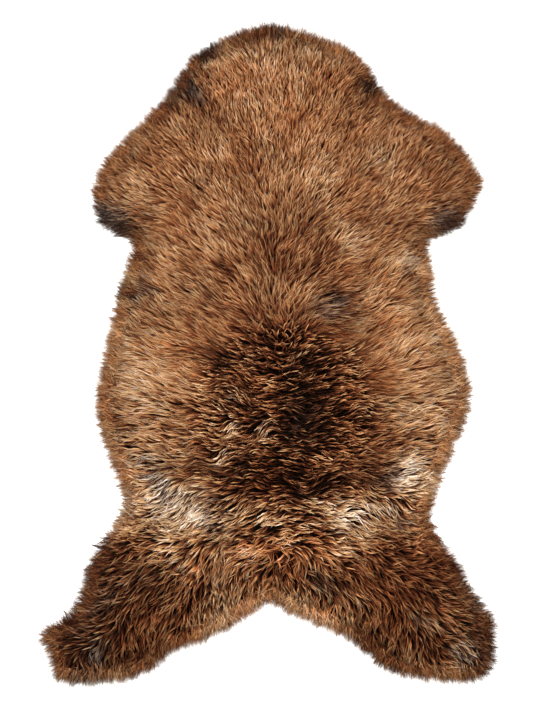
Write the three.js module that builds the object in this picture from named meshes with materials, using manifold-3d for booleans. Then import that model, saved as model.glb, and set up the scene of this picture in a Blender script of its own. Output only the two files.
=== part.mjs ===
// Lambskin rug: one tanned pelt with its wool on, lying flat with the flesh side down.
// Millimetres. +Z is up, +Y runs from the rump to the neck, and the origin lies under the
// middle of the skin's box. The pelt is one lumpy slab of combed wool on its hide, rounded
// off to the cut edge, with locks of wool standing out all round the rim.
import * as THREE from "three";
import { mergeVertices } from "three/addons/utils/BufferGeometryUtils.js";
import Module from "manifold-3d";

const wasm = await Module();
wasm.setup();

// Fleece over the hide
const FLEECE_HEIGHT = 34; // combed wool on the back
const RIM_HEIGHT = 10; // wool at the cut edge
const RIM_ROUND = 48; // from the cut edge to the fleece's full height
const FOLD_FLOOR = 13; // wool left under the deepest parting

// Tufts: long low lumps, laid the way the wool is combed
const TUFT_RISE = 3.4;
const TUFT_LENGTH = 82;
const TUFT_WIDTH = 47;
const TUFT_WANDER = 0.32; // how far a row of tufts strays, in tufts
const COMBED_FROM = new THREE.Vector2(8, -190); // the combing fans out from this spot on the loin

// Locks round the rim, lying on the floor
const LOCK_COUNT = 216;
const LOCK_REACH = 14; // past the cut edge
const LOCK_REACH_SPREAD = 6;
const LOCK_ROOT = 13; // inside the slab
const LOCK_WIDTH = 17;
const LOCK_FLATNESS = 0.62; // height over width
const LOCK_CLEARANCE = 0.6; // under a lock, above the hide's flesh side
const LOCK_LEAN = 0.45; // most that a lock leans along the rim, in radians
const LOCK_SWAY = 4; // sideways curl at the tip

// Fineness of the faceted surface
const GRID_PITCH = 15;
const OUTLINE_STEPS = 260;

// The hide's cut edge, a row for each section across the skin: how far it reaches to the left
// and to the right of the middle line, at its place y along the skin.
const BODY_SECTIONS = [
  { at: "nape", y: 484, left: 8, right: 18 },
  { at: "poll", y: 462, left: 63, right: 92 },
  { at: "crown", y: 440, left: 101, right: 135 },
  { at: "cheek", y: 390, left: 135, right: 168 },
  { at: "withers", y: 355, left: 165, right: 209 },
  { at: "shoulder", y: 324, left: 196, right: 267 },
  { at: "upper foreleg", y: 291, left: 226, right: 294 },
  { at: "foreleg", y: 256, left: 244, right: 314 },
  { at: "shin", y: 217, left: 247, right: 296 },
  { at: "heel", y: 194, left: 234, right: 284 },
  { at: "elbow", y: 180, left: 199, right: 243 },
  { at: "armpit", y: 163, left: 186, right: 232 },
  { at: "chest", y: 124, left: 200, right: 239 },
  { at: "girth", y: 80, left: 212, right: 244 },
  { at: "ribs", y: 16, left: 226, right: 275 },
  { at: "belly", y: -62, left: 241, right: 297 },
  { at: "flank", y: -114, left: 236, right: 281 },
  { at: "loin", y: -171, left: 215, right: 257 },
  { at: "waist", y: -229, left: 200, right: 238 },
  { at: "hip", y: -270, left: 224, right: 241 },
  { at: "thigh", y: -311, left: 253, right: 279 },
  { at: "hock", y: -350, left: 264, right: 296 },
];

// Where the hind legs part, and their sections, each with the inner edges of both legs.
const FORK = new THREE.Vector2(6, -362);
const LEG_SECTIONS = [
  { at: "cannon", y: -380, left: 275, leftInner: 28, rightInner: 45, right: 321 },
  { at: "fetlock", y: -400, left: 294, leftInner: 56, rightInner: 90, right: 333 },
  { at: "toe", y: -420, left: 328, leftInner: 99, rightInner: 130, right: 334 },
  { at: "pastern", y: -440, left: 318, leftInner: 147, rightInner: 157, right: 335 },
  { at: "foot", y: -460, left: 312, leftInner: 169, rightInner: 180, right: 332 },
  { at: "sole", y: -478, left: 308, leftInner: 214, rightInner: 250, right: 318 },
];

// Partings and hollows in the wool: soft troughs of this length and width about their middle,
// turned by this many degrees from the +X axis.
const PARTINGS = [
  { at: "nape", x: 17, y: 467, long: 34, wide: 15, turn: 100, depth: 9 },
  { at: "left cheek", x: -93, y: 378, long: 62, wide: 26, turn: -52, depth: 11 },
  { at: "right cheek", x: 153, y: 390, long: 52, wide: 24, turn: 52, depth: 10 },
  { at: "left elbow", x: -186, y: 200, long: 58, wide: 20, turn: 62, depth: 10 },
  { at: "right elbow", x: 236, y: 190, long: 52, wide: 20, turn: -58, depth: 10 },
  { at: "left ribs", x: -166, y: 77, long: 92, wide: 26, turn: -22, depth: 12 },
  { at: "right ribs", x: 98, y: 84, long: 48, wide: 34, turn: 8, depth: 12 },
  { at: "right girth", x: 92, y: 48, long: 74, wide: 20, turn: 18, depth: 7 },
  { at: "back", x: 45, y: -37, long: 76, wide: 48, turn: 90, depth: 8 },
  { at: "left back", x: -75, y: -28, long: 58, wide: 36, turn: -20, depth: 8 },
  { at: "left loin", x: -84, y: -110, long: 44, wide: 34, turn: 80, depth: 8 },
  { at: "right back", x: 98, y: -112, long: 120, wide: 22, turn: 6, depth: 7 },
  { at: "right loin", x: 178, y: -186, long: 60, wide: 32, turn: -38, depth: 9 },
  { at: "upper loin fold", x: 39, y: -238, long: 190, wide: 18, turn: -4, depth: 10 },
  { at: "lower loin fold", x: 24, y: -258, long: 150, wide: 16, turn: -9, depth: 8 },
  { at: "rump", x: 4, y: -334, long: 96, wide: 16, turn: 90, depth: 9 },
  { at: "left thigh", x: -150, y: -373, long: 106, wide: 26, turn: 20, depth: 9 },
  { at: "right thigh", x: 96, y: -349, long: 80, wide: 30, turn: -32, depth: 9 },
  { at: "right shank", x: 238, y: -436, long: 72, wide: 20, turn: 78, depth: 8 },
];

// The closed curve of the cut edge: down the left side, round both legs and up the right side.
function cutEdge() {
  const rows = [...BODY_SECTIONS, ...LEG_SECTIONS];
  const upLegs = [...LEG_SECTIONS].reverse();
  const corners = [
    ...rows.map((row) => [-row.left, row.y]),
    ...upLegs.map((row) => [-row.leftInner, row.y]),
    [FORK.x, FORK.y],
    ...LEG_SECTIONS.map((row) => [row.rightInner, row.y]),
    ...rows.reverse().map((row) => [row.right, row.y]),
  ];
  const points = corners.map(([x, y]) => new THREE.Vector3(x, y, 0));
  return new THREE.CatmullRomCurve3(points, true, "centripetal");
}

// A number from 0 to 1 that looks random and is the same for the same seed.
function scatter(seed) {
  const wave = Math.sin(seed * 127.1 + 311.7) * 43758.5453;
  return wave - Math.floor(wave);
}

// How far a point lies inside the closed ring of points, or 0 outside it.
function depthInside(x, y, ring) {
  let nearest = Infinity;
  let inside = false;
  ring.forEach((a, i) => {
    const b = ring[(i + 1) % ring.length];
    const along = new THREE.Vector2(b.x - a.x, b.y - a.y);
    const share = ((x - a.x) * along.x + (y - a.y) * along.y) / along.lengthSq();
    const held = THREE.MathUtils.clamp(share, 0, 1);
    nearest = Math.min(nearest, Math.hypot(x - a.x - held * along.x, y - a.y - held * along.y));
    if (a.y > y !== b.y > y && x < a.x + ((y - a.y) / along.y) * along.x) inside = !inside;
  });
  return inside ? nearest : 0;
}

// Long lumps, from -1 to 1, in rows that fan out from the combing's middle.
function tufts(x, y) {
  const out = Math.hypot(x - COMBED_FROM.x, y - COMBED_FROM.y);
  const round = Math.atan2(y - COMBED_FROM.y, x - COMBED_FROM.x) * TUFT_LENGTH * 2;
  const wander = TUFT_WANDER * Math.sin(out / TUFT_WIDTH + x / TUFT_LENGTH);
  const across = Math.sin(2 * Math.PI * (round / TUFT_WIDTH + wander));
  const along = Math.sin(2 * Math.PI * (out / TUFT_LENGTH + wander) + y / TUFT_WIDTH);
  return 0.6 * across + 0.4 * along;
}

// How much a parting takes off the fleece at a point, from 0 to its depth.
function partingDepth(parting, x, y) {
  const turn = THREE.MathUtils.degToRad(parting.turn);
  const place = new THREE.Vector2(x - parting.x, y - parting.y);
  place.rotateAround(new THREE.Vector2(), -turn);
  const along = place.x / (parting.long / 2);
  const across = place.y / (parting.wide / 2);
  return parting.depth * Math.exp(-(along * along) - across * across);
}

// Height of the wool over the floor at a point.
function fleeceTop(x, y, ring) {
  const inward = Math.min(depthInside(x, y, ring) / RIM_ROUND, 1);
  const round = Math.sqrt(1 - (1 - inward) ** 2);
  const parted = PARTINGS.reduce((sum, parting) => sum + partingDepth(parting, x, y), 0);
  const rise = FLEECE_HEIGHT - RIM_HEIGHT + TUFT_RISE * tufts(x, y) - parted;
  return RIM_HEIGHT + round * Math.max(rise, FOLD_FLOOR - RIM_HEIGHT);
}

// A closed three.js geometry as a solid that can be joined and cut.
function solidOf(geometry) {
  const bare = geometry.clone();
  bare.deleteAttribute("normal");
  bare.deleteAttribute("uv");
  const merged = mergeVertices(bare);
  return new wasm.Manifold(
    new wasm.Mesh({
      numProp: 3,
      vertProperties: new Float32Array(merged.attributes.position.array),
      triVerts: new Uint32Array(merged.index.array),
    }),
  );
}

// A solid as a three.js geometry.
function geometryOf(solid) {
  const { vertProperties, triVerts } = solid.getMesh();
  const geometry = new THREE.BufferGeometry();
  geometry.setAttribute("position", new THREE.BufferAttribute(vertProperties, 3));
  geometry.setIndex(new THREE.BufferAttribute(triVerts, 1));
  geometry.computeVertexNormals();
  return geometry;
}

// The block of wool that the pelt is cut out of: lumpy above, and deep enough to cut level below.
function woolBlock(ring) {
  const box = new THREE.Box2().setFromPoints(ring);
  const size = box.getSize(new THREE.Vector2()).addScalar(2 * GRID_PITCH);
  const middle = box.getCenter(new THREE.Vector2());
  const columns = Math.round(size.x / GRID_PITCH);
  const rows = Math.round(size.y / GRID_PITCH);
  const block = new THREE.BoxGeometry(size.x, size.y, 1, columns, rows, 1);
  block.translate(middle.x, middle.y, 0);
  const place = block.attributes.position;
  for (let i = 0; i < place.count; i += 1) {
    const top = place.getZ(i) > 0;
    place.setZ(i, top ? fleeceTop(place.getX(i), place.getY(i), ring) : -FLEECE_HEIGHT);
  }
  return solidOf(block);
}

// The slab: the block of wool inside the cut edge, level with the floor below.
function slab(ring) {
  const depth = 2 * FLEECE_HEIGHT;
  const prism = new THREE.ExtrudeGeometry(new THREE.Shape(ring), { depth, bevelEnabled: false });
  return woolBlock(ring).intersect(solidOf(prism));
}

// One lock: a three-sided spike, flat below, that leaves the rim, stays full and curls to a point.
function lock(number, edge) {
  const spacing = 1 / LOCK_COUNT;
  const share = (number + 0.5 * scatter(number)) * spacing;
  const reach = LOCK_REACH + LOCK_REACH_SPREAD * (2 * scatter(number + 0.37) - 1);
  const lean = LOCK_LEAN * (2 * scatter(number + 0.71) - 1);
  const sway = LOCK_SWAY * (2 * scatter(number + 0.13) - 1);
  const length = LOCK_ROOT + reach;
  const spike = new THREE.ConeGeometry(LOCK_WIDTH / 2, length, 3, 2);
  spike.translate(0, length / 2 - LOCK_ROOT, 0);
  const place = spike.attributes.position;
  for (let i = 0; i < place.count; i += 1) {
    const out = (place.getY(i) + LOCK_ROOT) / length;
    const fullness = 1 + out;
    const lowest = (-(1 - out) * LOCK_WIDTH) / 4;
    place.setX(i, fullness * place.getX(i) + sway * out * out);
    place.setZ(i, LOCK_CLEARANCE + LOCK_FLATNESS * fullness * (place.getZ(i) - lowest));
  }
  const root = edge.getPointAt(share);
  const along = edge.getTangentAt(share);
  // The edge runs anticlockwise, so outwards is a quarter turn to the right of its direction.
  spike.rotateZ(Math.atan2(along.y, along.x) + Math.PI + lean);
  spike.translate(root.x, root.y, 0);
  return solidOf(spike);
}

// The whole pelt, moved so that the origin is under the middle of its box.
function lambskin() {
  const edge = cutEdge();
  const ring = edge.getSpacedPoints(OUTLINE_STEPS).slice(0, -1);
  const outline = ring.map((point) => new THREE.Vector2(point.x, point.y));
  let pelt = slab(outline);
  for (let number = 0; number < LOCK_COUNT; number += 1) pelt = pelt.add(lock(number, edge));
  const geometry = geometryOf(pelt);
  geometry.computeBoundingBox();
  const middle = geometry.boundingBox.getCenter(new THREE.Vector3());
  geometry.translate(-middle.x, -middle.y, 0);
  const wool = new THREE.MeshStandardMaterial({ color: "#8f6238", roughness: 0.9, metalness: 0 });
  const mesh = new THREE.Mesh(geometry, wool);
  mesh.name = "lambskin";
  return mesh;
}

const part = new THREE.Group();
part.add(lambskin());
export default part;
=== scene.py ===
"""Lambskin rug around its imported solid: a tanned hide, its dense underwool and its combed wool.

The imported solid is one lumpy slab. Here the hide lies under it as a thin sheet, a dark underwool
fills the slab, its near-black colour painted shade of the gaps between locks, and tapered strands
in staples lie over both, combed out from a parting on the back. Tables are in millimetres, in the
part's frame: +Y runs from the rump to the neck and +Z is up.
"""

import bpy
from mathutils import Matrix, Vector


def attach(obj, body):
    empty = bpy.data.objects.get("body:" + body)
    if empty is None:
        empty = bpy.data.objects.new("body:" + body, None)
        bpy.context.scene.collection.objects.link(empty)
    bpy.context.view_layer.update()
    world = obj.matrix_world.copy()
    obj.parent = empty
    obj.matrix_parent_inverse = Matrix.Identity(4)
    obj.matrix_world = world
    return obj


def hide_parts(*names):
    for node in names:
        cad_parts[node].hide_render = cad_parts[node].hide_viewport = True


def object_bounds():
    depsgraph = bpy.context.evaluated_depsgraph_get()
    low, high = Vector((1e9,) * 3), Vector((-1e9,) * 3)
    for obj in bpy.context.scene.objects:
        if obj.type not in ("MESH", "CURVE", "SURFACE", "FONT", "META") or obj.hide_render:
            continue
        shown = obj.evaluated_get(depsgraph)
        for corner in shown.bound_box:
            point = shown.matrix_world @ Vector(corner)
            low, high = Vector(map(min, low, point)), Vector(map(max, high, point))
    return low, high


bl_info = {
    "name": "Lambskin rug",
    "version": (1, 0, 0),
    "blender": (4, 5, 0),
    "location": "View3D > Sidebar > Lambskin",
    "description": "Makes a combed brown lambskin around its packed solid",
    "category": "Object",
}

import math
from functools import lru_cache
from types import SimpleNamespace

import bmesh
import bpy
import numpy as np
from bpy.props import FloatProperty, FloatVectorProperty, IntProperty, PointerProperty
from mathutils.bvhtree import BVHTree

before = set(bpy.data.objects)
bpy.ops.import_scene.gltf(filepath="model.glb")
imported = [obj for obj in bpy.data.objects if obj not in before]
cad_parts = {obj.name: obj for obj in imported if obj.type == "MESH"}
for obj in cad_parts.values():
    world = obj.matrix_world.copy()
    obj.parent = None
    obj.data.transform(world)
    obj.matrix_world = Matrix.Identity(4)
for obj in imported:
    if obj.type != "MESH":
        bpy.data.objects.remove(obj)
CAD_BOX = [list(corner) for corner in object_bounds()]
NODE = "lambskin"
BODY = "root"
MM = 0.001

# How the wool is combed at places along the skin: where it parts, how far it turns from the
# neck's way to each side in degrees, over what width, and how far a staple may take its way from
# beside its own place, which keeps the parting from showing as a line.
COMBING = {
    "y": (-320, -232, -170, -60, 0, 80, 160, 330, 480),
    "parts": (3, 32, 47, 38, 24, 12, 6, 8, 10),
    "turns": (98, 92, 90, 82, 70, 58, 54, 50, 46),
    "width": (8, 5, 4, 4, 12, 40, 65, 120, 160),
    "scatter": (30, 46, 46, 42, 24, 15, 15, 15, 15),
}

# Below the loin the wool fans down the legs from one point, and at the rim it turns straight out.
LEG_FAN = (10, -200)
LEG_SCATTER = 34
LEG_FROM = -298
LEG_BLEND = 26
RIM_PULL = 1.1
RIM_PULL_DEPTH = 36
RIM_REACH = 20  # furthest that staples stand past the cut edge

# Wool at places along the skin, from the feet to the neck: how far apart its staples stand,
# strands in one, their length and width, how far they draw together, how far they curl aside in
# radians, their waves, how far they stray in radians, and how deep their roots lie under the top.
STATIONS = {
    "y": (-480, -330, -230, -120, 0, 180, 330, 480),
    "spacing": (5.4, 5.3, 5.3, 5.0, 4.4, 3.9, 3.4, 3.3),
    "strands": (4.2, 4.1, 3.9, 4.5, 5.0, 4.7, 4.6, 4.6),
    "length": (23, 25, 34, 33, 30, 23, 17, 14),
    "width": (1.5, 1.5, 1.5, 1.45, 1.5, 1.35, 1.1, 1.0),
    "clump": (0.86, 0.86, 0.84, 0.86, 0.86, 0.82, 0.70, 0.55),
    "curl": (0.60, 0.60, 0.80, 0.40, 0.30, 0.30, 0.30, 0.30),
    "wave": (1.6, 1.7, 1.7, 1.0, 0.7, 0.5, 0.3, 0.3),
    "stray": (0.24, 0.22, 0.24, 0.18, 0.14, 0.22, 0.24, 0.22),
    "sink": (11, 12, 12, 12, 11, 10, 8, 7),
}

# Pieces that the fleece is combed in: name, lowest and highest y, side, and rings in a strand.
FLEECE_BANDS = (
    ("neck_wool", 310, 999, 0, 1),
    ("shoulder_wool", 190, 310, 0, 1),
    ("chest_wool", 60, 190, 0, 1),
    ("belly_wool", -70, 60, 0, 1),
    ("flank_wool", -180, -70, 0, 2),
    ("hip_wool", -290, -180, 0, 3),
    ("left_leg_wool", -999, -290, -1, 2),
    ("right_leg_wool", -999, -290, 1, 2),
)

# Pieces of crimped wool, which the bands leave out: name, middle, half sizes, and strands in a
# staple. It lies in ridges across the skin, and its own values take the place of the stations'.
CRIMPED = (
    ("back_wool", 25, -78, 118, 112, 3.0),
    ("loin_wool", 28, -222, 86, 50, 4.2),
)
CRIMPED_RINGS = 5
RIDGE_STEP = 6.5
RIDGE_DRIFT = 7
CRIMPED_LENGTH = 0.75  # share of the stations' length
CRIMPED_WAVE = 1.1
CRIMPED_STRAY = 0.12
CRIMPED_SPREAD = 0.18  # of the gap between staples
CRIMPED_TURNS = 1.4  # waves along a strand
CRIMPED_DARKEST = 0.16  # tone

# How other staples and their strands differ.
STAPLE_SPREAD = 0.26
STAPLE_TURNS = 0.9
STAPLE_BEND = 0.18
RIPPLE_TURN = 0.28
LENGTH_SPREAD = (0.8, 1.2)
PAST_SPREAD = (0.2, 1.0)
SLIDE_SPREAD = (-0.25, 0.12)  # along the staple, as a share of its length
WAVE_SPREAD = (0.5, 1.5)
WIDTH_SPREAD = (0.75, 1.2)
ROLL_SPREAD = (-0.6, 0.6)
RIM_DEPTH = 25  # over which wool changes towards the cut edge
FLEECE_FLOOR = 2.2
COLOUR_BLUR = 4

# Strands are closed, three-sided and drawn out to a point: places of their rings from root to
# tip and their width there, by the number of rings.
STRAND_MAP = "OFBake"
STRAND_FLATNESS = 0.7
STRAND_STEPS = {
    1: (0.0, 1.0),
    2: (0.0, 0.45, 1.0),
    3: (0.0, 0.38, 0.75, 1.0),
    5: (0.0, 0.22, 0.42, 0.62, 0.82, 1.0),
}
STRAND_FULLNESS = {
    1: (1.0,),
    2: (0.9, 1.0),
    3: (0.8, 1.0, 0.8),
    5: (0.7, 0.9, 1.0, 1.0, 0.75),
}
# The root stop is near black: partly the wool's own darker roots, partly painted shade of the gaps
# between locks.
TONE_STOPS = (("root", 0.0), ("dark", 0.33), ("mid", 0.66), ("tip", 1.0))

# Patterns that break up the wool and its colours: size of their lumps, and seed.
PATTERNS = {
    "drift x": (22, 31),
    "fine drift x": (7, 32),
    "drift y": (22, 33),
    "fine drift y": (7, 34),
    "mottle": (36, 35),
    "fine mottle": (15, 36),
    "grey": (40, 37),
    "fine grey": (15, 38),
    "curl": (38, 41),
    "ripple": (14, 42),
    "lift": (17, 43),
    "tint": (11, 44),
    "rim": (15, 45),
    "phase": (26, 46),
    "ridge": (24, 47),
    "fringe": (18, 51),
}

# Where the wool turns aside from the combing: place, reach and turn in radians.
WHORLS = (
    ("left hip", -115, -230, 45, 0.7),
    ("right hip", 130, -250, 40, -0.8),
    ("right ribs", 80, 62, 36, -0.5),
    ("cream tuft", -70, -150, 14, 1.6),
    ("pale tuft", -60, -108, 14, 1.3),
    ("grey tuft", -9, -111, 16, 1.5),
)

# Natural colours of the coat: tone from black to cream, and warmth from slate over golden (0.5)
# to russet.
COAT_COLOURS = {
    "black": (0.03, 0.20),
    "charcoal": (0.08, 0.00),
    "mahogany": (0.08, 0.90),
    "dark brown": (0.12, 0.50),
    "brown": (0.24, 0.58),
    "umber": (0.40, 0.42),
    "cold umber": (0.44, 0.18),
    "dark slate": (0.34, 0.00),
    "slate": (0.53, 0.00),
    "silver": (0.70, 0.06),
    "russet brown": (0.38, 0.82),
    "rust": (0.48, 0.90),
    "russet": (0.84, 1.00),
    "hazel": (0.55, 0.54),
    "nut": (0.61, 0.66),
    "chestnut": (0.73, 0.66),
    "tan": (0.77, 0.84),
    "honey": (0.95, 0.68),
    "golden": (0.86, 0.55),
    "grey fawn": (0.70, 0.22),
    "fawn": (0.95, 0.36),
    "cream": (0.96, 0.12),
}
PLAIN_COAT = "nut"

# The coat's markings, laid over each other in this order: place, half sizes, turn in degrees,
# colour and strength. The dark markings at hollows, partings and folds are painted shade.
MARKINGS = (
    ("saddle of the neck", 10, 373, 112, 67, 0, "tan", 0.60),
    ("left shoulder", -94, 313, 54, 27, -20, "chestnut", 0.60),
    ("withers", 63, 254, 89, 24, -8, "chestnut", 0.60),
    ("left shoulder blade", -80, 148, 74, 39, 1, "chestnut", 0.50),
    ("right shoulder blade", 110, 163, 30, 24, 10, "cream", 0.60),
    ("shoulders' middle", 32, 141, 68, 63, 0, "brown", 0.60),
    # painted shade of the hollow
    ("left shoulder hollow", -50, 110, 14, 14, 0, "mahogany", 0.70),
    ("nape tuft", 13, 481, 11, 17, 10, "cold umber", 1.00),
    ("left crown", -88, 445, 14, 22, -35, "black", 0.80),
    ("left cheek", -106, 387, 13, 31, 35, "charcoal", 1.00),
    ("left cheek's rim", -131, 381, 21, 16, 0, "dark slate", 0.70),
    ("right cheek", 142, 394, 19, 14, 20, "charcoal", 0.90),
    ("left fetlock", -230, 198, 42, 26, -12, "dark slate", 1.00),
    # painted shade of the hollow
    ("hollow by the left fetlock", -192, 191, 12, 17, 0, "black", 0.90),
    ("right fetlock", 266, 200, 40, 24, 10, "dark slate", 0.90),
    # painted shade of the parting
    ("parting in the left ribs", -172, 88, 44, 8, -24, "black", 1.00),
    ("pale lock of the left ribs", -194, 107, 19, 13, -20, "fawn", 0.60),
    ("grey lock in the left ribs", -197, 82, 22, 6, -20, "charcoal", 0.90),
    # painted shade of the hollow
    ("hollow in the right ribs", 94, 85, 16, 11, 0, "black", 1.00),
    ("waves in the right ribs", 74, 57, 39, 16, 10, "dark slate", 0.80),
    ("left flank", -175, -66, 74, 132, 7, "golden", 0.80),
    ("left ribs", -116, -25, 28, 48, 10, "honey", 0.70),
    ("right flank", 233, -44, 63, 143, -2, "golden", 0.80),
    ("right ribs", 199, 128, 31, 21, 10, "cream", 0.60),
    ("back", 24, -73, 127, 119, 1, "russet brown", 0.90),
    ("darkest back", 60, -84, 44, 93, -6, "dark brown", 0.85),
    ("left back", -71, -7, 27, 19, -15, "dark brown", 0.80),
    ("left loin", -54, -59, 21, 18, -15, "umber", 0.70),
    ("upper tuft of the back", 2, -35, 14, 17, 0, "chestnut", 0.70),
    ("pale tuft of the back", -60, -109, 11, 15, 0, "cream", 0.80),
    ("left tuft of the back", -71, -150, 9, 15, -10, "cream", 0.90),
    ("grey tuft of the back", -7, -111, 14, 19, 0, "silver", 0.80),
    ("smooth tuft of the back", 76, -148, 19, 14, -40, "honey", 0.80),
    ("grey right loin", 175, -185, 25, 13, 10, "dark slate", 0.90),
    ("dark right loin", 115, -185, 51, 21, 0, "brown", 0.70),
    # painted shade of the fold
    ("left loin fold", 10, -185, 75, 28, -3, "mahogany", 0.70),
    ("band of the left loin", -77, -171, 42, 16, 0, "brown", 0.80),
    ("tuft of the left flank", -140, -105, 16, 13, 0, "rust", 0.70),
    ("band of the left flank", -185, -160, 24, 11, 0, "cream", 0.70),
    ("left hip", -116, -240, 86, 45, 3, "grey fawn", 0.75),
    ("pale left hip", -143, -213, 33, 21, 8, "cream", 0.90),
    ("pale lock of the left hip", -109, -238, 26, 20, 0, "cream", 0.70),
    ("above the left hip", -161, -186, 24, 13, 10, "cream", 0.70),
    ("rim of the left hip", -209, -223, 12, 22, 0, "slate", 0.70),
    ("below the left hip", -116, -268, 33, 15, 5, "hazel", 0.70),
    # painted shade of the hollow
    ("hollow of the left hip", -104, -282, 18, 11, 0, "hazel", 0.70),
    ("lower lock of the left hip", -140, -266, 15, 10, 0, "fawn", 0.70),
    ("left haunch", -213, -298, 25, 32, 0, "brown", 0.80),
    ("right hip", 152, -246, 69, 36, 0, "grey fawn", 0.70),
    ("pale right hip", 121, -244, 23, 22, -40, "cream", 0.90),
    ("streak of the right loin", 92, -225, 39, 7, -16, "fawn", 0.80),
    ("pale right loin", 213, -184, 40, 25, -10, "cream", 0.70),
    ("grey right hip", 204, -250, 21, 10, 20, "dark slate", 0.70),
    ("tuft of the right hip", 183, -231, 16, 14, 0, "cream", 0.70),
    # painted shade of the fold
    ("upper loin fold", 45, -228, 60, 7, -2, "hazel", 0.90),
    ("lower loin fold", 17, -252, 60, 5, -7, "golden", 0.80),
    # painted shade of the fold
    ("fold over the rump", -15, -265, 26, 11, -1, "russet brown", 0.80),
    ("rump", 33, -305, 89, 38, -2, "russet", 0.70),
    ("pale right thigh", 110, -293, 18, 18, 0, "fawn", 0.70),
    ("rump parting", -1, -332, 9, 42, 0, "tan", 0.80),
    ("inner thighs", -9, -392, 143, 36, 3, "honey", 0.70),
    ("dark right thigh", 85, -338, 27, 21, -30, "cold umber", 0.80),
    ("left thigh", -94, -320, 51, 33, 20, "russet", 0.70),
    ("dark left thigh", -183, -336, 39, 21, 11, "dark brown", 0.70),
    ("left leg", -265, -395, 74, 77, 30, "umber", 0.80),
    ("left leg's outer rim", -257, -321, 19, 66, -20, "umber", 0.80),
    ("inner left leg", -179, -404, 62, 41, 32, "rust", 0.60),
    ("streak of the left leg", -253, -440, 19, 12, 45, "silver", 0.90),
    ("tuft of the left foot", -206, -450, 18, 13, 0, "brown", 0.80),
    ("left sole", -243, -480, 54, 11, -2, "slate", 0.80),
    ("left toe", -334, -418, 21, 15, 0, "umber", 0.90),
    ("right leg", 205, -351, 94, 78, -31, "rust", 0.75),
    ("right leg's outer rim", 300, -351, 20, 77, 21, "cold umber", 0.85),
    ("right foot", 318, -438, 27, 60, 2, "umber", 0.85),
    ("patch of the right foot", 285, -438, 17, 23, 20, "silver", 0.90),
    ("lock of the right leg", 223, -392, 18, 9, -30, "silver", 0.80),
    ("partings of the right leg", 219, -438, 21, 36, 16, "nut", 0.70),
)


def hex_colour(code):
    """A colour written as sRGB hex, made linear."""
    parts = [int(code[i : i + 2], 16) / 255 for i in (1, 3, 5)]
    return tuple(p / 12.92 if p <= 0.04045 else ((p + 0.055) / 1.055) ** 2.4 for p in parts)


def colour_property(name, description, code):
    """A colour that the panel shows, with its default as sRGB hex."""
    return FloatVectorProperty(
        name=name,
        description=description,
        subtype="COLOR",
        size=3,
        min=0.0,
        max=1.0,
        default=hex_colour(code),
    )


class LambskinHide(bpy.types.PropertyGroup):
    """Sizes and colours of the tanned hide."""

    thickness: FloatProperty(
        name="Thickness",
        description="Thickness of the tanned hide",
        default=2.0 * MM,
        min=0.5 * MM,
        unit="LENGTH",
    )
    suede: colour_property("Suede", "Flesh side, buffed to a nap", "#c9b08a")
    shade: colour_property("Shade", "Where the tannage took unevenly", "#a98a62")


class LambskinWool(bpy.types.PropertyGroup):
    """Sizes and colours of the wool."""

    fringe_reach: FloatProperty(
        name="Fringe reach",
        description="How far the fine wool stands past the cut edge",
        default=24.0 * MM,
        min=0.0,
        unit="LENGTH",
    )
    fringe_count: IntProperty(
        name="Fringe strands",
        description="Fine strands round the rim",
        default=24000,
        min=1,
    )
    # Near black: painted shade of the partings and the gaps between locks.
    underwool: colour_property("Underwool", "Dense wool at the roots", "#0b0604")
    # Root colours are near black: partly the wool's own darker roots, partly painted shade of the
    # gaps between locks.
    golden_root: colour_property("Golden root", "Roots of the golden wool", "#0f0805")
    golden_dark: colour_property("Golden dark", "Lower half of the golden wool", "#6a3c24")
    golden_mid: colour_property("Golden mid", "Upper half of the golden wool", "#c29c6c")
    golden_tip: colour_property("Golden tip", "Sun-bleached golden tips", "#fae6d2")
    russet_root: colour_property("Russet root", "Roots of the russet wool", "#0e0604")
    russet_dark: colour_property("Russet dark", "Lower half of the russet wool", "#63311c")
    russet_mid: colour_property("Russet mid", "Upper half of the russet wool", "#b8713c")
    russet_tip: colour_property("Russet tip", "Russet tips", "#edbf98")
    slate_root: colour_property("Slate root", "Roots of the slate wool", "#0d0a08")
    slate_dark: colour_property("Slate dark", "Lower half of the slate wool", "#4c3c35")
    slate_mid: colour_property("Slate mid", "Upper half of the slate wool", "#a59180")
    slate_tip: colour_property("Slate tip", "Pale tips of the slate wool", "#f8efe0")


class LambskinStage(bpy.types.PropertyGroup):
    """The floor, the lights and the camera."""

    floor: colour_property("Floor", "Plain pale floor", "#f7f6f4")
    sky: FloatProperty(
        name="Sky",
        description="Strength of the light from all round",
        default=0.42,
        min=0.0,
    )
    softbox: FloatProperty(
        name="Softbox",
        description="Power of each of the two large lights overhead",
        default=135.0,
        min=0.0,
        unit="POWER",
    )
    camera_height: FloatProperty(
        name="Camera height",
        description="Height of the camera over the floor",
        default=2.52,
        min=0.5,
        unit="LENGTH",
    )


def add_node(tree, kind, settings=None, links=None):
    """Adds one shader node, with its settings and input values, and links to its inputs."""
    node = tree.nodes.new(kind)
    for key, value in (settings or {}).items():
        if hasattr(node, key):
            setattr(node, key, value)
        else:
            node.inputs[key].default_value = value
    for key, source in (links or {}).items():
        tree.links.new(source, node.inputs[key])
    return node


def new_material(name):
    """An empty node material and the tree that its nodes go in."""
    material = bpy.data.materials.new(name)
    material.use_nodes = True
    material.node_tree.nodes.clear()
    return material, material.node_tree
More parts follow.
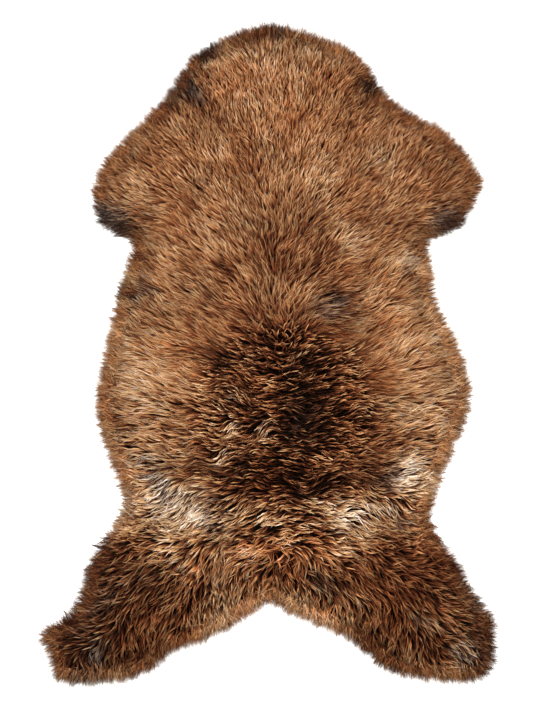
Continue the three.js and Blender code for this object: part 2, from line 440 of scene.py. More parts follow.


# Combed natural wool: fibres lie side by side in staples that hold the light, so it is matt and
# nearly without shine, bleached at the tips and dark at the roots, partly the wool's own darker
# roots and partly painted shade of the gaps between locks. Each strand carries its tone
# and its warmth in its map, so that a lock keeps its own colour from root to tip.
@lru_cache(maxsize=None)
def combed_wool():
    wool = bpy.context.scene.lambskin_wool
    material, tree = new_material("combed natural wool")
    place = add_node(tree, "ShaderNodeUVMap", {"uv_map": STRAND_MAP})
    axes = add_node(tree, "ShaderNodeSeparateXYZ", links={"Vector": place.outputs["UV"]})
    shades = {}
    for family in ("slate", "golden", "russet"):
        ramp = add_node(tree, "ShaderNodeValToRGB", links={"Fac": axes.outputs["X"]})
        stops = ramp.color_ramp.elements
        while len(stops) < len(TONE_STOPS):
            stops.new(0.5)
        for stop, (part, at) in zip(stops, TONE_STOPS):
            stop.position = at
            stop.color = (*getattr(wool, f"{family}_{part}"), 1.0)
        shades[family] = ramp.outputs["Color"]
    colour = shades["slate"]
    for family, start in (("golden", 0.0), ("russet", 0.5)):
        share = add_node(
            tree,
            "ShaderNodeMapRange",
            {"From Min": start, "From Max": start + 0.5},
            {"Value": axes.outputs["Y"]},
        )
        blend = add_node(
            tree,
            "ShaderNodeMix",
            {"data_type": "RGBA"},
            {0: share.outputs["Result"], 6: colour, 7: shades[family]},
        )
        colour = blend.outputs[2]
    shader = add_node(
        tree,
        "ShaderNodeBsdfPrincipled",
        {"Roughness": 0.8, "Specular IOR Level": 0.01},
        {"Base Color": colour},
    )
    add_node(tree, "ShaderNodeOutputMaterial", links={"Surface": shader.outputs["BSDF"]})
    return material


# Dense underwool: short crimped fibres felted close to the skin, seen only as the dark floor of
# the partings. Its near-black colour is painted shade of the partings and the gaps between locks.
# The crimp is about 4 mm.
@lru_cache(maxsize=None)
def felted_underwool():
    colour = bpy.context.scene.lambskin_wool.underwool
    material, tree = new_material("felted underwool")
    place = add_node(tree, "ShaderNodeTexCoord")
    crimp = add_node(
        tree,
        "ShaderNodeTexNoise",
        {"Scale": 1 / (4 * MM), "Detail": 5.0, "Roughness": 0.6},
        {"Vector": place.outputs["Object"]},
    )
    # Darker where the crimp's bump lies low and lighter where it stands high: painted shade and
    # light on the crimp.
    shade = add_node(tree, "ShaderNodeValToRGB", links={"Fac": crimp.outputs["Fac"]})
    shade.color_ramp.elements[0].position = 0.3
    shade.color_ramp.elements[0].color = (*(0.45 * c for c in colour), 1.0)
    shade.color_ramp.elements[1].position = 0.75
    shade.color_ramp.elements[1].color = (*(1.5 * c for c in colour), 1.0)
    bump = add_node(
        tree,
        "ShaderNodeBump",
        {"Strength": 0.8, "Distance": 1.5 * MM},
        {"Height": crimp.outputs["Fac"]},
    )
    shader = add_node(
        tree,
        "ShaderNodeBsdfPrincipled",
        {"Roughness": 0.95, "Specular IOR Level": 0.01},
        {"Base Color": shade.outputs["Color"], "Normal": bump.outputs["Normal"]},
    )
    add_node(tree, "ShaderNodeOutputMaterial", links={"Surface": shader.outputs["BSDF"]})
    return material


# Tanned sheepskin, flesh side buffed to suede: matt and pale, clouded where the tannage took
# unevenly over 40 mm or so, with a short nap, darker where the nap's bump lies low as painted
# shade. The nap's 0.8 mm is drawn at 2 mm so that it shows.
@lru_cache(maxsize=None)
def buffed_suede():
    hide = bpy.context.scene.lambskin_hide
    material, tree = new_material("buffed sheepskin suede")
    place = add_node(tree, "ShaderNodeTexCoord")
    cloud = add_node(
        tree,
        "ShaderNodeTexNoise",
        {"Scale": 1 / (40 * MM), "Detail": 4.0, "Roughness": 0.55},
        {"Vector": place.outputs["Object"]},
    )
    nap = add_node(
        tree,
        "ShaderNodeTexNoise",
        {"Scale": 1 / (2 * MM), "Detail": 3.0, "Roughness": 0.7},
        {"Vector": place.outputs["Object"]},
    )
    tint = add_node(tree, "ShaderNodeValToRGB", links={"Fac": cloud.outputs["Fac"]})
    tint.color_ramp.elements[0].position = 0.32
    tint.color_ramp.elements[0].color = (*hide.shade, 1.0)
    tint.color_ramp.elements[1].position = 0.66
    tint.color_ramp.elements[1].color = (*hide.suede, 1.0)
    # Darkens the suede where the nap's bump lies low: painted shade in the nap.
    painted_nap_shade = add_node(
        tree,
        "ShaderNodeMapRange",
        {"From Min": 0.3, "From Max": 0.7, "To Min": 0.82, "To Max": 1.0},
        {"Value": nap.outputs["Fac"]},
    )
    colour = add_node(
        tree,
        "ShaderNodeMix",
        {"data_type": "RGBA", "blend_type": "MULTIPLY", "Factor": 1.0},
        {6: tint.outputs["Color"], 7: painted_nap_shade.outputs["Result"]},
    )
    bump = add_node(
        tree,
        "ShaderNodeBump",
        {"Strength": 0.5, "Distance": 0.4 * MM},
        {"Height": nap.outputs["Fac"]},
    )
    shader = add_node(
        tree,
        "ShaderNodeBsdfPrincipled",
        {"Roughness": 0.88, "Specular IOR Level": 0.2, "Sheen Weight": 0.2},
        {"Base Color": colour.outputs[2], "Normal": bump.outputs["Normal"]},
    )
    add_node(tree, "ShaderNodeOutputMaterial", links={"Surface": shader.outputs["BSDF"]})
    return material


# Matt painted studio floor, faintly rolled so that it isn't one flat tone.
@lru_cache(maxsize=None)
def painted_floor():
    colour = bpy.context.scene.lambskin_stage.floor
    material, tree = new_material("matt painted floor")
    place = add_node(tree, "ShaderNodeTexCoord")
    rolled = add_node(
        tree,
        "ShaderNodeTexNoise",
        {"Scale": 1 / (180 * MM), "Detail": 2.0},
        {"Vector": place.outputs["Object"]},
    )
    tint = add_node(tree, "ShaderNodeValToRGB", links={"Fac": rolled.outputs["Fac"]})
    tint.color_ramp.elements[0].color = (*(0.97 * c for c in colour), 1.0)
    tint.color_ramp.elements[1].color = (*colour, 1.0)
    shader = add_node(
        tree,
        "ShaderNodeBsdfPrincipled",
        {"Roughness": 0.9, "Specular IOR Level": 0.1},
        {"Base Color": tint.outputs["Color"]},
    )
    add_node(tree, "ShaderNodeOutputMaterial", links={"Surface": shader.outputs["BSDF"]})
    return material


def ring_distance(points, ring):
    """How far each point lies inside the closed ring, less than 0 outside it."""
    nearest = np.full(len(points), np.inf)
    inside = np.zeros(len(points), bool)
    for start, end in zip(ring, np.roll(ring, -1, axis=0)):
        along = end - start
        offset = points - start
        share = np.clip(offset @ along / (along @ along), 0, 1)
        away = offset - share[:, None] * along
        nearest = np.minimum(nearest, np.hypot(away[:, 0], away[:, 1]))
        crossed = (start[1] > points[:, 1]) != (end[1] > points[:, 1])
        slope = along[0] / along[1] if along[1] else 0.0
        inside ^= crossed & (offset[:, 0] < offset[:, 1] * slope)
    return np.where(inside, nearest, -nearest)


def softened(field, times):
    """The field with each value drawn towards its neighbours, over and over."""
    for _ in range(times):
        wide = np.pad(field, 1, mode="edge")
        field = (wide[:-2, 1:-1] + wide[2:, 1:-1] + wide[1:-1, :-2] + wide[1:-1, 2:]) / 4
    return field


def lumps(x, y, size, seed):
    """Smooth scatter from -1 to 1 over the plane, in lumps of this size."""
    cells = 512
    lattice = np.random.default_rng(seed).uniform(-1, 1, (cells, cells))
    u, v = x / size + cells // 2, y / size + cells // 2
    i, j = np.floor(u).astype(int), np.floor(v).astype(int)
    fu, fv = u - i, v - j
    fu, fv = fu * fu * (3 - 2 * fu), fv * fv * (3 - 2 * fv)
    low = lattice[i, j] * (1 - fu) + lattice[i + 1, j] * fu
    high = lattice[i, j + 1] * (1 - fu) + lattice[i + 1, j + 1] * fu
    return low * (1 - fv) + high * fv


def pattern(name, x, y):
    """One of the named patterns at each point."""
    size, seed = PATTERNS[name]
    return lumps(x, y, size * MM, seed)


class Pelt:
    """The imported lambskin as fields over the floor: its top, its cut edge and the way outwards."""

    STEP = 4 * MM
    MARGIN = 40 * MM
    RIM_TOP = 10 * MM  # top of the wool at the cut edge
    RIM_FALL = 0.5  # how fast the wool past the edge sinks
    RIM_FLOOR = 2.4 * MM
    TOP_SOFTENED = 2
    EDGE_SOFTENED = 12
    LEAST_LENGTH = 0.2  # share that wool at the edge keeps

    def __init__(self, node):
        solid = bmesh.new()
        solid.from_mesh(node.data)
        bmesh.ops.remove_doubles(solid, verts=solid.verts, dist=0.001 * MM)
        self.ring = self.cut_edge(solid)
        low, high = np.array(CAD_BOX[0][:2]), np.array(CAD_BOX[1][:2])
        self.low = low - self.MARGIN
        counts = np.ceil((high - low + 2 * self.MARGIN) / self.STEP).astype(int)
        x = self.low[0] + self.STEP * np.arange(counts[0])
        y = self.low[1] + self.STEP * np.arange(counts[1])
        grid_x, grid_y = np.meshgrid(x, y, indexing="ij")
        points = np.column_stack([grid_x.ravel(), grid_y.ravel()])
        self.inset_field = ring_distance(points, self.ring).reshape(counts)
        tree = BVHTree.FromBMesh(solid)
        solid.free()
        self.top_field = np.empty(counts)
        for (i, j), inset in np.ndenumerate(self.inset_field):
            hit = tree.ray_cast((x[i], y[j], 1.0), (0, 0, -1))[0] if inset > 0 else None
            past = self.RIM_TOP + self.RIM_FALL * min(inset, 0)
            self.top_field[i, j] = hit.z if hit else max(past, self.RIM_FLOOR)
        self.top_field = softened(self.top_field, self.TOP_SOFTENED)
        slope_x, slope_y = np.gradient(softened(self.inset_field, self.EDGE_SOFTENED))
        steep = np.maximum(np.hypot(slope_x, slope_y), 1e-9)
        self.out_fields = (-slope_x / steep, -slope_y / steep)

    @staticmethod
    def cut_edge(solid):
        """The ring of points round the face that lies on the floor."""
        resting = {f for f in solid.faces if all(v.co.z < 0.01 * MM for v in f.verts)}
        rim = [e for e in solid.edges if sum(f in resting for f in e.link_faces) == 1]
        following = {}
        for edge in rim:
            face = next(f for f in edge.link_faces if f in resting)
            loop = next(l for l in face.loops if l.edge == edge)
            following[loop.vert] = loop.link_loop_next.vert
        if not following:
            raise RuntimeError("the packed solid has no face on the floor")
        first = min(following, key=lambda v: v.index)
        ring, vert = [first], following[first]
        while vert != first:
            ring.append(vert)
            vert = following[vert]
        return np.array([v.co.xy for v in ring])

    def read(self, field, x, y):
        """A field's value between its grid points."""
        u = np.clip((x - self.low[0]) / self.STEP, 0, field.shape[0] - 1.001)
        v = np.clip((y - self.low[1]) / self.STEP, 0, field.shape[1] - 1.001)
        i, j = u.astype(int), v.astype(int)
        fu, fv = u - i, v - j
        low = field[i, j] * (1 - fu) + field[i + 1, j] * fu
        high = field[i, j + 1] * (1 - fu) + field[i + 1, j + 1] * fu
        return low * (1 - fv) + high * fv

    def combing(self, x, y, scatter=(0.0, 0.0)):
        """The way that the wool is combed, in radians from +X."""
        parts, turns, width, wander = (
            np.interp(y, np.array(COMBING["y"]) * MM, COMBING[name])
            for name in ("parts", "turns", "width", "scatter")
        )
        off = x - parts * MM + wander * MM * scatter[0]
        turn = np.radians(turns) * np.tanh(off / (width * MM))
        fan = np.arctan2(
            x - LEG_FAN[0] * MM + LEG_SCATTER * MM * scatter[0],
            y - LEG_FAN[1] * MM + LEG_SCATTER * MM * scatter[1],
        )
        legs = 0.5 - 0.5 * np.tanh((y - LEG_FROM * MM) / (LEG_BLEND * MM))
        turn = turn + legs * (fan - turn)
        inset = np.maximum(self.read(self.inset_field, x, y), 0)
        pull = RIM_PULL * np.exp(-inset / (RIM_PULL_DEPTH * MM))
        lean_x = np.sin(turn) + pull * self.read(self.out_fields[0], x, y)
        lean_y = np.cos(turn) + pull * self.read(self.out_fields[1], x, y)
        angle = np.arctan2(lean_y, lean_x)
        for _, at_x, at_y, reach, turn in WHORLS:
            near = np.hypot(x - at_x * MM, y - at_y * MM) / (reach * MM)
            angle = angle + turn * np.exp(-(near**2))
        return angle

    def held_in(self, x, y, heading, reach, past):
        """Lengths of wool, shortened where it would stand too far past the cut edge."""
        here = self.read(self.inset_field, x, y)
        for _ in range(3):
            end_x, end_y = x + reach * np.cos(heading), y + reach * np.sin(heading)
            fall = np.maximum(here - self.read(self.inset_field, end_x, end_y), 0.1 * MM)
            reach = reach * np.clip((here + past) / fall, self.LEAST_LENGTH, 1)
        return reach


@lru_cache(maxsize=None)
def pelt():
    return Pelt(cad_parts[NODE])


def coat(x, y):
    """Tone and warmth of the coat at each point, with the markings' edges broken up."""
    x = x + MM * (7 * pattern("drift x", x, y) + 3 * pattern("fine drift x", x, y))
    y = y + MM * (7 * pattern("drift y", x, y) + 3 * pattern("fine drift y", x, y))
    tone, warmth = (np.full(x.shape, value) for value in COAT_COLOURS[PLAIN_COAT])
    for _, at_x, at_y, half_long, half_wide, turn, colour, strength in MARKINGS:
        to_tone, to_warmth = COAT_COLOURS[colour]
        c, s = math.cos(math.radians(turn)), math.sin(math.radians(turn))
        off_x, off_y = x - at_x * MM, y - at_y * MM
        along = (c * off_x + s * off_y) / (half_long * MM)
        across = (c * off_y - s * off_x) / (half_wide * MM)
        share = strength * np.exp(-((along**2 + across**2) ** 1.5))
        tone = tone + share * (to_tone - tone)
        warmth = warmth + share * (to_warmth - warmth)
    mottle = 0.10 * pattern("mottle", x, y) + 0.09 * pattern("fine mottle", x, y)
    tone = tone + mottle * np.interp(tone, (0.1, 0.6), (0.4, 1))
    greyed = 0.14 * pattern("grey", x, y) + 0.16 * pattern("fine grey", x, y)
    return tone, warmth + np.minimum(greyed, 0.05) + 0.03


def strand_piece(name, spine, width, roll, tone, warmth):
    """One mesh of closed three-sided strands along their spines, each drawn out to a point."""
    count, steps = spine.shape[:2]
    rings = steps - 1
    tangent = np.gradient(spine, axis=1)
    tangent /= np.linalg.norm(tangent, axis=2, keepdims=True)
    side = np.cross(tangent, (0.0, 0.0, 1.0))
    side /= np.maximum(np.linalg.norm(side, axis=2, keepdims=True), 1e-9)
    rise = np.cross(side, tangent)
    turn = roll[:, None] + np.radians((90, 210, 330))
    across = np.cos(turn)[:, None, :, None] * side[:, :rings, None, :]
    upward = STRAND_FLATNESS * np.sin(turn)[:, None, :, None] * rise[:, :rings, None, :]
    corners = spine[:, :rings, None, :] + 0.5 * width[:, :, None, None] * (across + upward)
    verts = np.concatenate([corners.reshape(count, 3 * rings, 3), spine[:, -1:, :]], axis=1)

    faces = [(0, 1, 2)]
    for ring in range(rings - 1):
        for a, b in ((0, 1), (1, 2), (2, 0)):
            a, b = a + 3 * ring, b + 3 * ring
            faces += [(a, b + 3, b), (a, a + 3, b + 3)]
    last = 3 * (rings - 1)
    faces += [(last + a, 3 * rings, last + b) for a, b in ((0, 1), (1, 2), (2, 0))]
    index = (np.array(faces)[None] + (3 * rings + 1) * np.arange(count)[:, None, None]).ravel()

    tones = np.concatenate([np.repeat(tone[:, :rings], 3, axis=1), tone[:, -1:]], axis=1)
    spread = np.append(np.tile((-0.012, 0.0, 0.012), rings), 0.0)
    map_uv = np.stack([tones, warmth[:, None] + spread[None, :]], axis=2).reshape(-1, 2)

    mesh = bpy.data.meshes.new(name)
    mesh.vertices.add(verts.shape[0] * verts.shape[1])
    mesh.vertices.foreach_set("co", verts.astype(np.float32).ravel())
    mesh.loops.add(len(index))
    mesh.loops.foreach_set("vertex_index", index.astype(np.int32))
    mesh.polygons.add(len(index) // 3)
    mesh.polygons.foreach_set("loop_start", np.arange(0, len(index), 3, dtype=np.int32))
    mesh.update(calc_edges=True)
    mesh.shade_smooth()
    layer = mesh.uv_layers.new(name=STRAND_MAP)
    layer.uv.foreach_set("vector", np.clip(map_uv[index], 0.01, 0.99).astype(np.float32).ravel())
    mesh.materials.append(combed_wool())
    piece = bpy.data.objects.new(name, mesh)
    bpy.context.scene.collection.objects.link(piece)
    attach(piece, BODY)
    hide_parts(NODE)
    return piece


def station(name, y):
    """A value of the wool's table at places along the skin."""
    return np.interp(y, np.array(STATIONS["y"]) * MM, STATIONS[name])


def staple_roots(rng):
    """Where staples stand: rows down the skin, as far apart as the wool's table says."""
    low, high = pelt().ring.min(axis=0), pelt().ring.max(axis=0)
    rows, y = [], high[1]
    while y > low[1]:
        gap = station("spacing", y) * MM
        x = np.arange(low[0] + gap * rng.random(), high[0], gap)
        row = np.column_stack([x, np.full(len(x), y)])
        rows.append(row + rng.uniform(-0.42, 0.42, row.shape) * gap)
        y -= gap * math.sqrt(0.75)
    roots = np.concatenate(rows)
    return roots[pelt().read(pelt().inset_field, *roots.T) > 1 * MM]


def comb_paths(roots, rings, rng, crimped):
    """The staples' paths over the skin, and how each staple differs from its neighbours."""
    skin = pelt()
    x, y = roots[:, 0], roots[:, 1]
    many = len(roots)
    at = np.array(STRAND_STEPS[rings])
    scatter = rng.normal(size=(2, many))
    stray = (CRIMPED_STRAY if crimped else station("stray", y)) * rng.normal(size=many)

    def heading(at_x, at_y):
        swirl = station("curl", y) * pattern("curl", at_x, at_y)
        ripple = RIPPLE_TURN * pattern("ripple", at_x, at_y)
        return skin.combing(at_x, at_y, scatter) + swirl + ripple + stray

    if crimped:
        drift = RIDGE_DRIFT * pattern("ridge", x, y)
        ridge = np.sin(2 * math.pi * (y / MM + drift) / RIDGE_STEP)
    else:
        ridge = rng.uniform(-1, 1, many)
    rim = np.clip(skin.read(skin.inset_field, x, y) / (RIM_DEPTH * MM), 0, 1)
    reach = station("length", y) * MM * rng.uniform(*LENGTH_SPREAD, many) * (1.35 - 0.35 * rim)
    reach = reach * (CRIMPED_LENGTH if crimped else 1.0)
    past = RIM_REACH * MM * rng.uniform(*PAST_SPREAD, many) * (1 + 0.3 * pattern("rim", x, y))
    reach = skin.held_in(x, y, heading(x, y), reach, past)
    bend = STAPLE_BEND * rng.normal(size=many)
    path = np.empty((many, len(at), 2))
    way = np.empty((many, len(at)))
    path[:, 0] = roots
    for step, share in enumerate(at):
        way[:, step] = heading(*path[:, step].T) + bend * share
        if step + 1 < len(at):
            onward = np.column_stack([np.cos(way[:, step]), np.sin(way[:, step])])
            stride = reach * (at[step + 1] - share)
            path[:, step + 1] = path[:, step] + stride[:, None] * onward
    lift = 1.0 * rng.normal(size=many) + 1.8 * pattern("lift", x, y) + 1.4 * ridge
    phase = 2 * math.pi * pattern("phase", x, y) + 0.6 * rng.normal(size=many)
    wave = (CRIMPED_WAVE if crimped else station("wave", y)) * MM * rng.uniform(*WAVE_SPREAD, many)
    tint = 0.10 * rng.normal(size=many) + 0.08 * pattern("tint", x, y)
    return SimpleNamespace(
        y=y,
        at=at,
        path=path,
        way=way,
        reach=reach,
        rim=rim,
        lift=lift,
        phase=phase,
        wave=wave,
        tint=tint,
        hue=0.09 * rng.normal(size=many),
        # Staples that stand high on the ridge, which are painted lighter as lit crests.
        bright=ridge > (-0.35 if crimped else -0.2),
    )


def strand_spines(staple, pick, rng, crimped):
    """Spines of the strands: beside their staple's path at its root, and together at its tip."""
    skin = pelt()
    at, count = staple.at, len(pick)
    gap = station("spacing", staple.y)[pick] * MM
    spread = CRIMPED_SPREAD if crimped else STAPLE_SPREAD
    place = rng.normal(size=(count, 2)) * spread * gap[:, None]
    clump = (station("clump", staple.y) * (0.35 + 0.65 * staple.rim))[pick]
    along = staple.reach[pick, None] * rng.uniform(*SLIDE_SPREAD, count)[:, None] * at
    angle = 2 * math.pi * (CRIMPED_TURNS if crimped else STAPLE_TURNS) * at
    swing = staple.wave[pick, None] * np.sin(angle + staple.phase[pick, None]) * np.sqrt(at)
    aside = (1 - clump[:, None] * at**1.2)[..., None] * place[:, None, :]
    c, s = np.cos(staple.way[pick]), np.sin(staple.way[pick])
    spine = np.empty((count, len(at), 3))
    spine[..., 0] = staple.path[pick, :, 0] + along * c - swing * s + aside[..., 0]
    spine[..., 1] = staple.path[pick, :, 1] + along * s + swing * c + aside[..., 1]
    sink = station("sink", staple.y)[pick, None] * MM
    level = skin.read(skin.top_field, spine[..., 0], spine[..., 1])
    height = staple.lift[pick, None] * MM + 1.0 * MM * rng.normal(size=(count, 1))
    rise = height * at - sink * (1 - at) ** 1.5
    inset = skin.read(skin.inset_field, spine[..., 0], spine[..., 1])
    rise = rise * np.clip(0.35 + inset / (RIM_DEPTH * MM), 0.25, 1)
    spine[..., 2] = np.maximum(level + rise, FLEECE_FLOOR * MM)
    return spine


def strand_shades(staple, pick, spine, rings, rng, crimped):
    """Tone along each strand, darker at its root with painted shade, and its warmth, from the coat
    at its tip.
    """
    count = len(pick)
    blur = COLOUR_BLUR * MM * rng.normal(size=(2, count))
    tone, warmth = coat(spine[:, -2, 0] + blur[0], spine[:, -2, 1] + blur[1])
    if crimped:
        tone = np.maximum(tone, CRIMPED_DARKEST)
    # In the darker parts of the coat, staples that stand high on the crests are painted lighter and
    # those lying low are painted darker: painted light and shade.
    crest_light_and_shade = np.clip((0.60 - tone) / 0.3, 0, 1) * np.where(staple.bright, 0.17, -0.18)[pick]
    own = 0.12 * rng.normal(size=count) - 0.36 * (rng.random(count) < 0.28)
    own = own * (0.55 if crimped else 0.65 if rings == 3 else 1.0)
    tone = tone + 0.05 + crest_light_and_shade + np.clip(staple.tint[pick] + own, -0.6, 0.2)
    # Each strand darkens towards its root, less towards the neck: partly the wool's own darker
    # roots, partly painted shade of the gaps between locks.
    depth = np.interp(tone, (0.3, 0.7), (0.8, 1.1))
    dark = np.interp(staple.y[pick] / MM, (180, 330), (0.9, 0.7))
    return tone[:, None] - dark[:, None] * (1 - staple.at) ** depth[:, None], warmth


def comb_staples(name, roots, rings, rng, crimped=0):
    """Combs one piece of the fleece: each staple's strands lie along it and meet at its tip."""
    if not len(roots):
        raise RuntimeError(f"no staples stand in {name}")
    many = np.full(len(roots), crimped) if crimped else station("strands", roots[:, 1])
    members = np.floor(many + rng.random(len(roots))).astype(int)
    pick = np.repeat(np.arange(len(roots)), members)
    staple = comb_paths(roots, rings, rng, crimped)
    spine = strand_spines(staple, pick, rng, crimped)
    width = station("width", staple.y)[pick] * MM * rng.uniform(*WIDTH_SPREAD, len(pick))
    width = width * (1.6 if rings == 1 else 0.85 if crimped > 4 else 1.0)
    width = width * (0.6 + 0.4 * staple.rim[pick])
    shade, warmth = strand_shades(staple, pick, spine, rings, rng, crimped)
    return strand_piece(
        name,
        spine,
        width[:, None] * np.array(STRAND_FULLNESS[rings]),
        rng.uniform(*ROLL_SPREAD, len(pick)),
        shade,
        warmth + staple.hue[pick] + 0.03 * rng.normal(size=len(pick)),
    )


class LAMBSKIN_OT_hide(bpy.types.Operator):
    """Lays the tanned hide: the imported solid's resting face, thickened to a sheet"""

    bl_idname = "lambskin.hide"
    bl_label = "Lay the hide"

    def execute(self, context):
        thickness = context.scene.lambskin_hide.thickness
        shape = bmesh.new()
        shape.from_mesh(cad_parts[NODE].data)
        bmesh.ops.remove_doubles(shape, verts=shape.verts, dist=0.001 * MM)
        raised = [f for f in shape.faces if any(v.co.z > 0.01 * MM for v in f.verts)]
        bmesh.ops.delete(shape, geom=raised, context="FACES")
        if not shape.faces:
            raise RuntimeError("the packed solid has no face on the floor")
        bmesh.ops.dissolve_faces(shape, faces=list(shape.faces), use_verts=False)
        thickened = bmesh.ops.extrude_face_region(shape, geom=list(shape.faces))
        lifted = [v for v in thickened["geom"] if isinstance(v, bmesh.types.BMVert)]
        bmesh.ops.translate(shape, verts=lifted, vec=(0, 0, thickness))
        bmesh.ops.recalc_face_normals(shape, faces=list(shape.faces))
        bmesh.ops.triangulate(shape, faces=list(shape.faces))
        mesh = bpy.data.meshes.new("hide")
        shape.to_mesh(mesh)
        shape.free()
        mesh.materials.append(buffed_suede())
        piece = bpy.data.objects.new("hide", mesh)
        context.scene.collection.objects.link(piece)
        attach(piece, BODY)
        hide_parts(NODE)
        return {"FINISHED"}


class LAMBSKIN_OT_underwool(bpy.types.Operator):
    """Fills the fleece with dense underwool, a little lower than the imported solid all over"""

    bl_idname = "lambskin.underwool"
    bl_label = "Fill the underwool"

    SHARE = 0.5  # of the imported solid's height
    SUNK = 0.9  # of the hide's thickness, which its base lies in

    def execute(self, context):
        sunk = self.SUNK * context.scene.lambskin_hide.thickness
        shape = bmesh.new()
        shape.from_mesh(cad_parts[NODE].data)
        bmesh.ops.remove_doubles(shape, verts=shape.verts, dist=0.001 * MM)
        bmesh.ops.scale(shape, verts=shape.verts, vec=(1, 1, self.SHARE))
        skin = pelt()
        for vert in shape.verts:
            place = np.array([vert.co.x]), np.array([vert.co.y])
            past = -float(skin.read(skin.inset_field, *place)[0])
            if past > 0:
                vert.co.x -= past * float(skin.read(skin.out_fields[0], *place)[0])
                vert.co.y -= past * float(skin.read(skin.out_fields[1], *place)[0])
        bmesh.ops.translate(shape, verts=shape.verts, vec=(0, 0, sunk))
        mesh = bpy.data.meshes.new("underwool")
        shape.to_mesh(mesh)
        shape.free()
        mesh.shade_smooth()
        mesh.materials.append(felted_underwool())
        piece = bpy.data.objects.new("underwool", mesh)
        context.scene.collection.objects.link(piece)
        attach(piece, BODY)
        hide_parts(NODE)
        return {"FINISHED"}


class LAMBSKIN_OT_fleece(bpy.types.Operator):
    """Combs the fleece: staples of tapered strands in bands from the neck to the feet"""

    bl_idname = "lambskin.fleece"
    bl_label = "Comb the fleece"

    ROOT_SEED = 7
    CRIMPED_SEED = 90
    BAND_SEED = 100

    def execute(self, context):
        roots = staple_roots(np.random.default_rng(self.ROOT_SEED))
        for number, (name, at_x, at_y, half_wide, half_long, strands) in enumerate(CRIMPED):
            off_x, off_y = roots[:, 0] / MM - at_x, roots[:, 1] / MM - at_y
            inside = (off_x / half_wide) ** 2 + (off_y / half_long) ** 2 < 1
            rng = np.random.default_rng(self.CRIMPED_SEED + number)
            comb_staples(name, roots[inside], CRIMPED_RINGS, rng, crimped=strands)
            roots = roots[~inside]
        for number, (name, low, high, side, rings) in enumerate(FLEECE_BANDS):
            inside = (roots[:, 1] >= low * MM) & (roots[:, 1] < high * MM)
            if side:
                inside &= side * roots[:, 0] > 0
            rng = np.random.default_rng(self.BAND_SEED + number)
            comb_staples(name, roots[inside], rings, rng)
        return {"FINISHED"}


class LAMBSKIN_OT_fringe(bpy.types.Operator):
    """Lets fine wool stand out all round the rim and sink towards the floor"""

    bl_idname = "lambskin.fringe"
    bl_label = "Draw out the fringe"

    SEED = 500
    ROOTS = (2, 16)  # how far in from the cut edge
    WIDTH = (0.5, 0.95)
    HEIGHT = (0.35, 1.0)  # share of the wool's top
    FLOOR = 2.0

    def execute(self, context):
        wool = context.scene.lambskin_wool
        skin = pelt()
        rng = np.random.default_rng(self.SEED)
        count = wool.fringe_count
        ends = np.roll(skin.ring, -1, axis=0)
        pieces = np.hypot(*(ends - skin.ring).T)
        where = np.sort(rng.random(count)) * pieces.sum()
        pick = np.searchsorted(np.cumsum(pieces), where)
        root = skin.ring[pick] + rng.random((count, 1)) * (ends - skin.ring)[pick]
        outward = np.column_stack([skin.read(f, *root.T) for f in skin.out_fields])
        inner = rng.uniform(*self.ROOTS, count) * MM
        root = root - inner[:, None] * outward
        combed = skin.combing(*root.T)
        heading = combed + 0.30 * rng.normal(size=count) + 0.35 * pattern("fringe", *root.T)
        reach = inner + wool.fringe_reach * (0.2 + rng.random(count) ** 1.3)
        at = np.array(STRAND_STEPS[1])
        facing = heading[:, None] + 0.3 * rng.normal(size=(count, 1)) * at
        spine = np.empty((count, len(at), 3))
        spine[..., 0] = root[:, :1] + reach[:, None] * at * np.cos(facing)
        spine[..., 1] = root[:, 1:] + reach[:, None] * at * np.sin(facing)
        level = skin.read(skin.top_field, spine[..., 0], spine[..., 1])
        level = level * rng.uniform(*self.HEIGHT, (count, 1))
        spine[..., 2] = np.maximum(level, self.FLOOR * MM)
        width = rng.uniform(*self.WIDTH, count) * MM
        tone, warmth = coat(*root.T)
        own = 0.12 * rng.normal(size=(count, 1)) - 0.3 * (rng.random((count, 1)) < 0.25)
        # Darker towards the root: painted shade under the wool that lies over it.
        shade = tone[:, None] + 0.02 + own - 0.3 * (1 - at)
        strand_piece(
            "fringe_wool",
            spine,
            width[:, None] * np.array(STRAND_FULLNESS[1]),
            rng.uniform(*ROLL_SPREAD, count),
            shade,
            warmth + 0.1 + 0.05 * rng.normal(size=count),
        )
        return {"FINISHED"}


class LAMBSKIN_OT_declare(bpy.types.Operator):
    """Raises an error if the hide or any piece of wool has not been made"""

    bl_idname = "lambskin.declare"
    bl_label = "State the hide's size"

    def execute(self, context):
        ring = pelt().ring
        wool = [row[0] for row in (*CRIMPED, *FLEECE_BANDS)] + ["underwool", "fringe_wool"]
        missing = [name for name in ("hide", *wool) if name not in bpy.data.objects]
        if missing:
            raise RuntimeError(f"not made yet: {', '.join(missing)}")
        return {"FINISHED"}


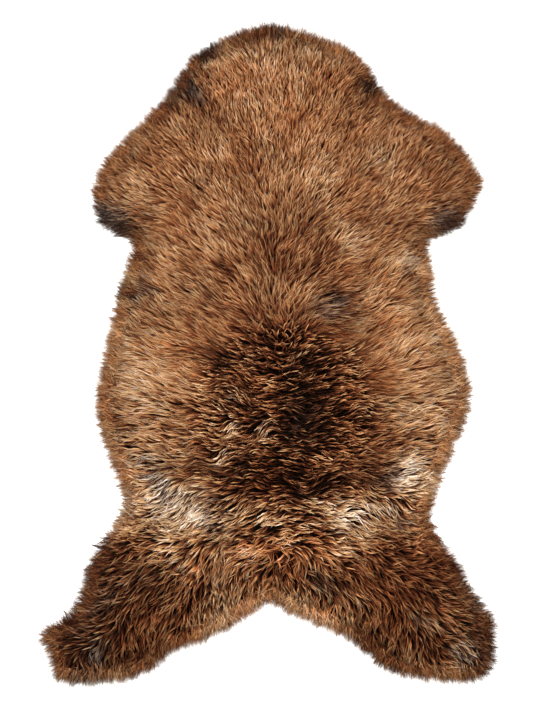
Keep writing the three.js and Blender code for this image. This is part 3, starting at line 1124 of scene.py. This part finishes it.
class LAMBSKIN_OT_stage(bpy.types.Operator):
    """Sets the floor, the soft light and the camera straight above"""

    bl_idname = "lambskin.stage"
    bl_label = "Set the stage"

    FLOOR_HALF = 6.0
    FIELD = 1.0594  # length of floor that the picture's long side takes in
    WOOL_LEVEL = 0.02
    CAMERA_AT = (-2.3 * MM, -0.5 * MM)
    SENSOR = 36.0
    SOFTBOX_SIZE = 1.2
    SOFTBOXES = (("left_softbox", (-1.3, 0.5, 2.6)), ("right_softbox", (1.3, 0.5, 2.6)))

    def execute(self, context):
        stage = context.scene.lambskin_stage
        shape = bmesh.new()
        bmesh.ops.create_grid(shape, x_segments=1, y_segments=1, size=self.FLOOR_HALF)
        mesh = bpy.data.meshes.new("floor")
        shape.to_mesh(mesh)
        shape.free()
        mesh.materials.append(painted_floor())
        floor = bpy.data.objects.new("floor", mesh)
        context.scene.collection.objects.link(floor)

        world = bpy.data.worlds.new("soft studio light")
        world.use_nodes = True
        world.node_tree.nodes.clear()
        sky = add_node(
            world.node_tree,
            "ShaderNodeBackground",
            {"Color": (1.0, 1.0, 1.0, 1.0), "Strength": stage.sky},
        )
        add_node(
            world.node_tree, "ShaderNodeOutputWorld", links={"Surface": sky.outputs["Background"]}
        )
        context.scene.world = world

        for name, place in self.SOFTBOXES:
            light = bpy.data.lights.new(name, "AREA")
            light.shape = "SQUARE"
            light.size = self.SOFTBOX_SIZE
            light.energy = stage.softbox
            softbox = bpy.data.objects.new(name, light)
            softbox.location = place
            softbox.rotation_euler = softbox.location.to_track_quat("Z", "Y").to_euler()
            context.scene.collection.objects.link(softbox)

        lens = bpy.data.cameras.new("camera")
        lens.sensor_width = self.SENSOR
        lens.lens = self.SENSOR * (stage.camera_height - self.WOOL_LEVEL) / self.FIELD
        lens.clip_end = 50.0
        camera = bpy.data.objects.new("camera", lens)
        camera.location = (*self.CAMERA_AT, stage.camera_height)
        context.scene.collection.objects.link(camera)
        context.scene.camera = camera
        context.scene.view_settings.view_transform = "Standard"
        return {"FINISHED"}


STEPS = (
    LAMBSKIN_OT_hide,
    LAMBSKIN_OT_underwool,
    LAMBSKIN_OT_fleece,
    LAMBSKIN_OT_fringe,
    LAMBSKIN_OT_declare,
    LAMBSKIN_OT_stage,
)


class LAMBSKIN_PT_panel(bpy.types.Panel):
    """Lists the lambskin's values and the steps that make it"""

    bl_idname = "LAMBSKIN_PT_panel"
    bl_label = "Lambskin rug"
    bl_space_type = "VIEW_3D"
    bl_region_type = "UI"
    bl_category = "Lambskin"

    def draw(self, context):
        scene = context.scene
        for group in (scene.lambskin_hide, scene.lambskin_wool, scene.lambskin_stage):
            box = self.layout.box()
            for name in group.bl_rna.properties.keys():
                if name not in {"rna_type", "name"}:
                    box.prop(group, name)
        for step in STEPS:
            self.layout.operator(step.bl_idname)


GROUPS = {
    "lambskin_hide": LambskinHide,
    "lambskin_wool": LambskinWool,
    "lambskin_stage": LambskinStage,
}


def register():
    for kind in (*GROUPS.values(), *STEPS, LAMBSKIN_PT_panel):
        bpy.utils.register_class(kind)
    for name, group in GROUPS.items():
        setattr(bpy.types.Scene, name, PointerProperty(type=group))


def unregister():
    for name in GROUPS:
        delattr(bpy.types.Scene, name)
    for kind in (LAMBSKIN_PT_panel, *reversed(STEPS), *reversed(GROUPS.values())):
        bpy.utils.unregister_class(kind)


def main():
    register()
    bpy.ops.lambskin.hide()
    bpy.ops.lambskin.underwool()
    bpy.ops.lambskin.fleece()
    bpy.ops.lambskin.fringe()
    bpy.ops.lambskin.declare()
    bpy.ops.lambskin.stage()


if __name__ == "__main__":
    main()
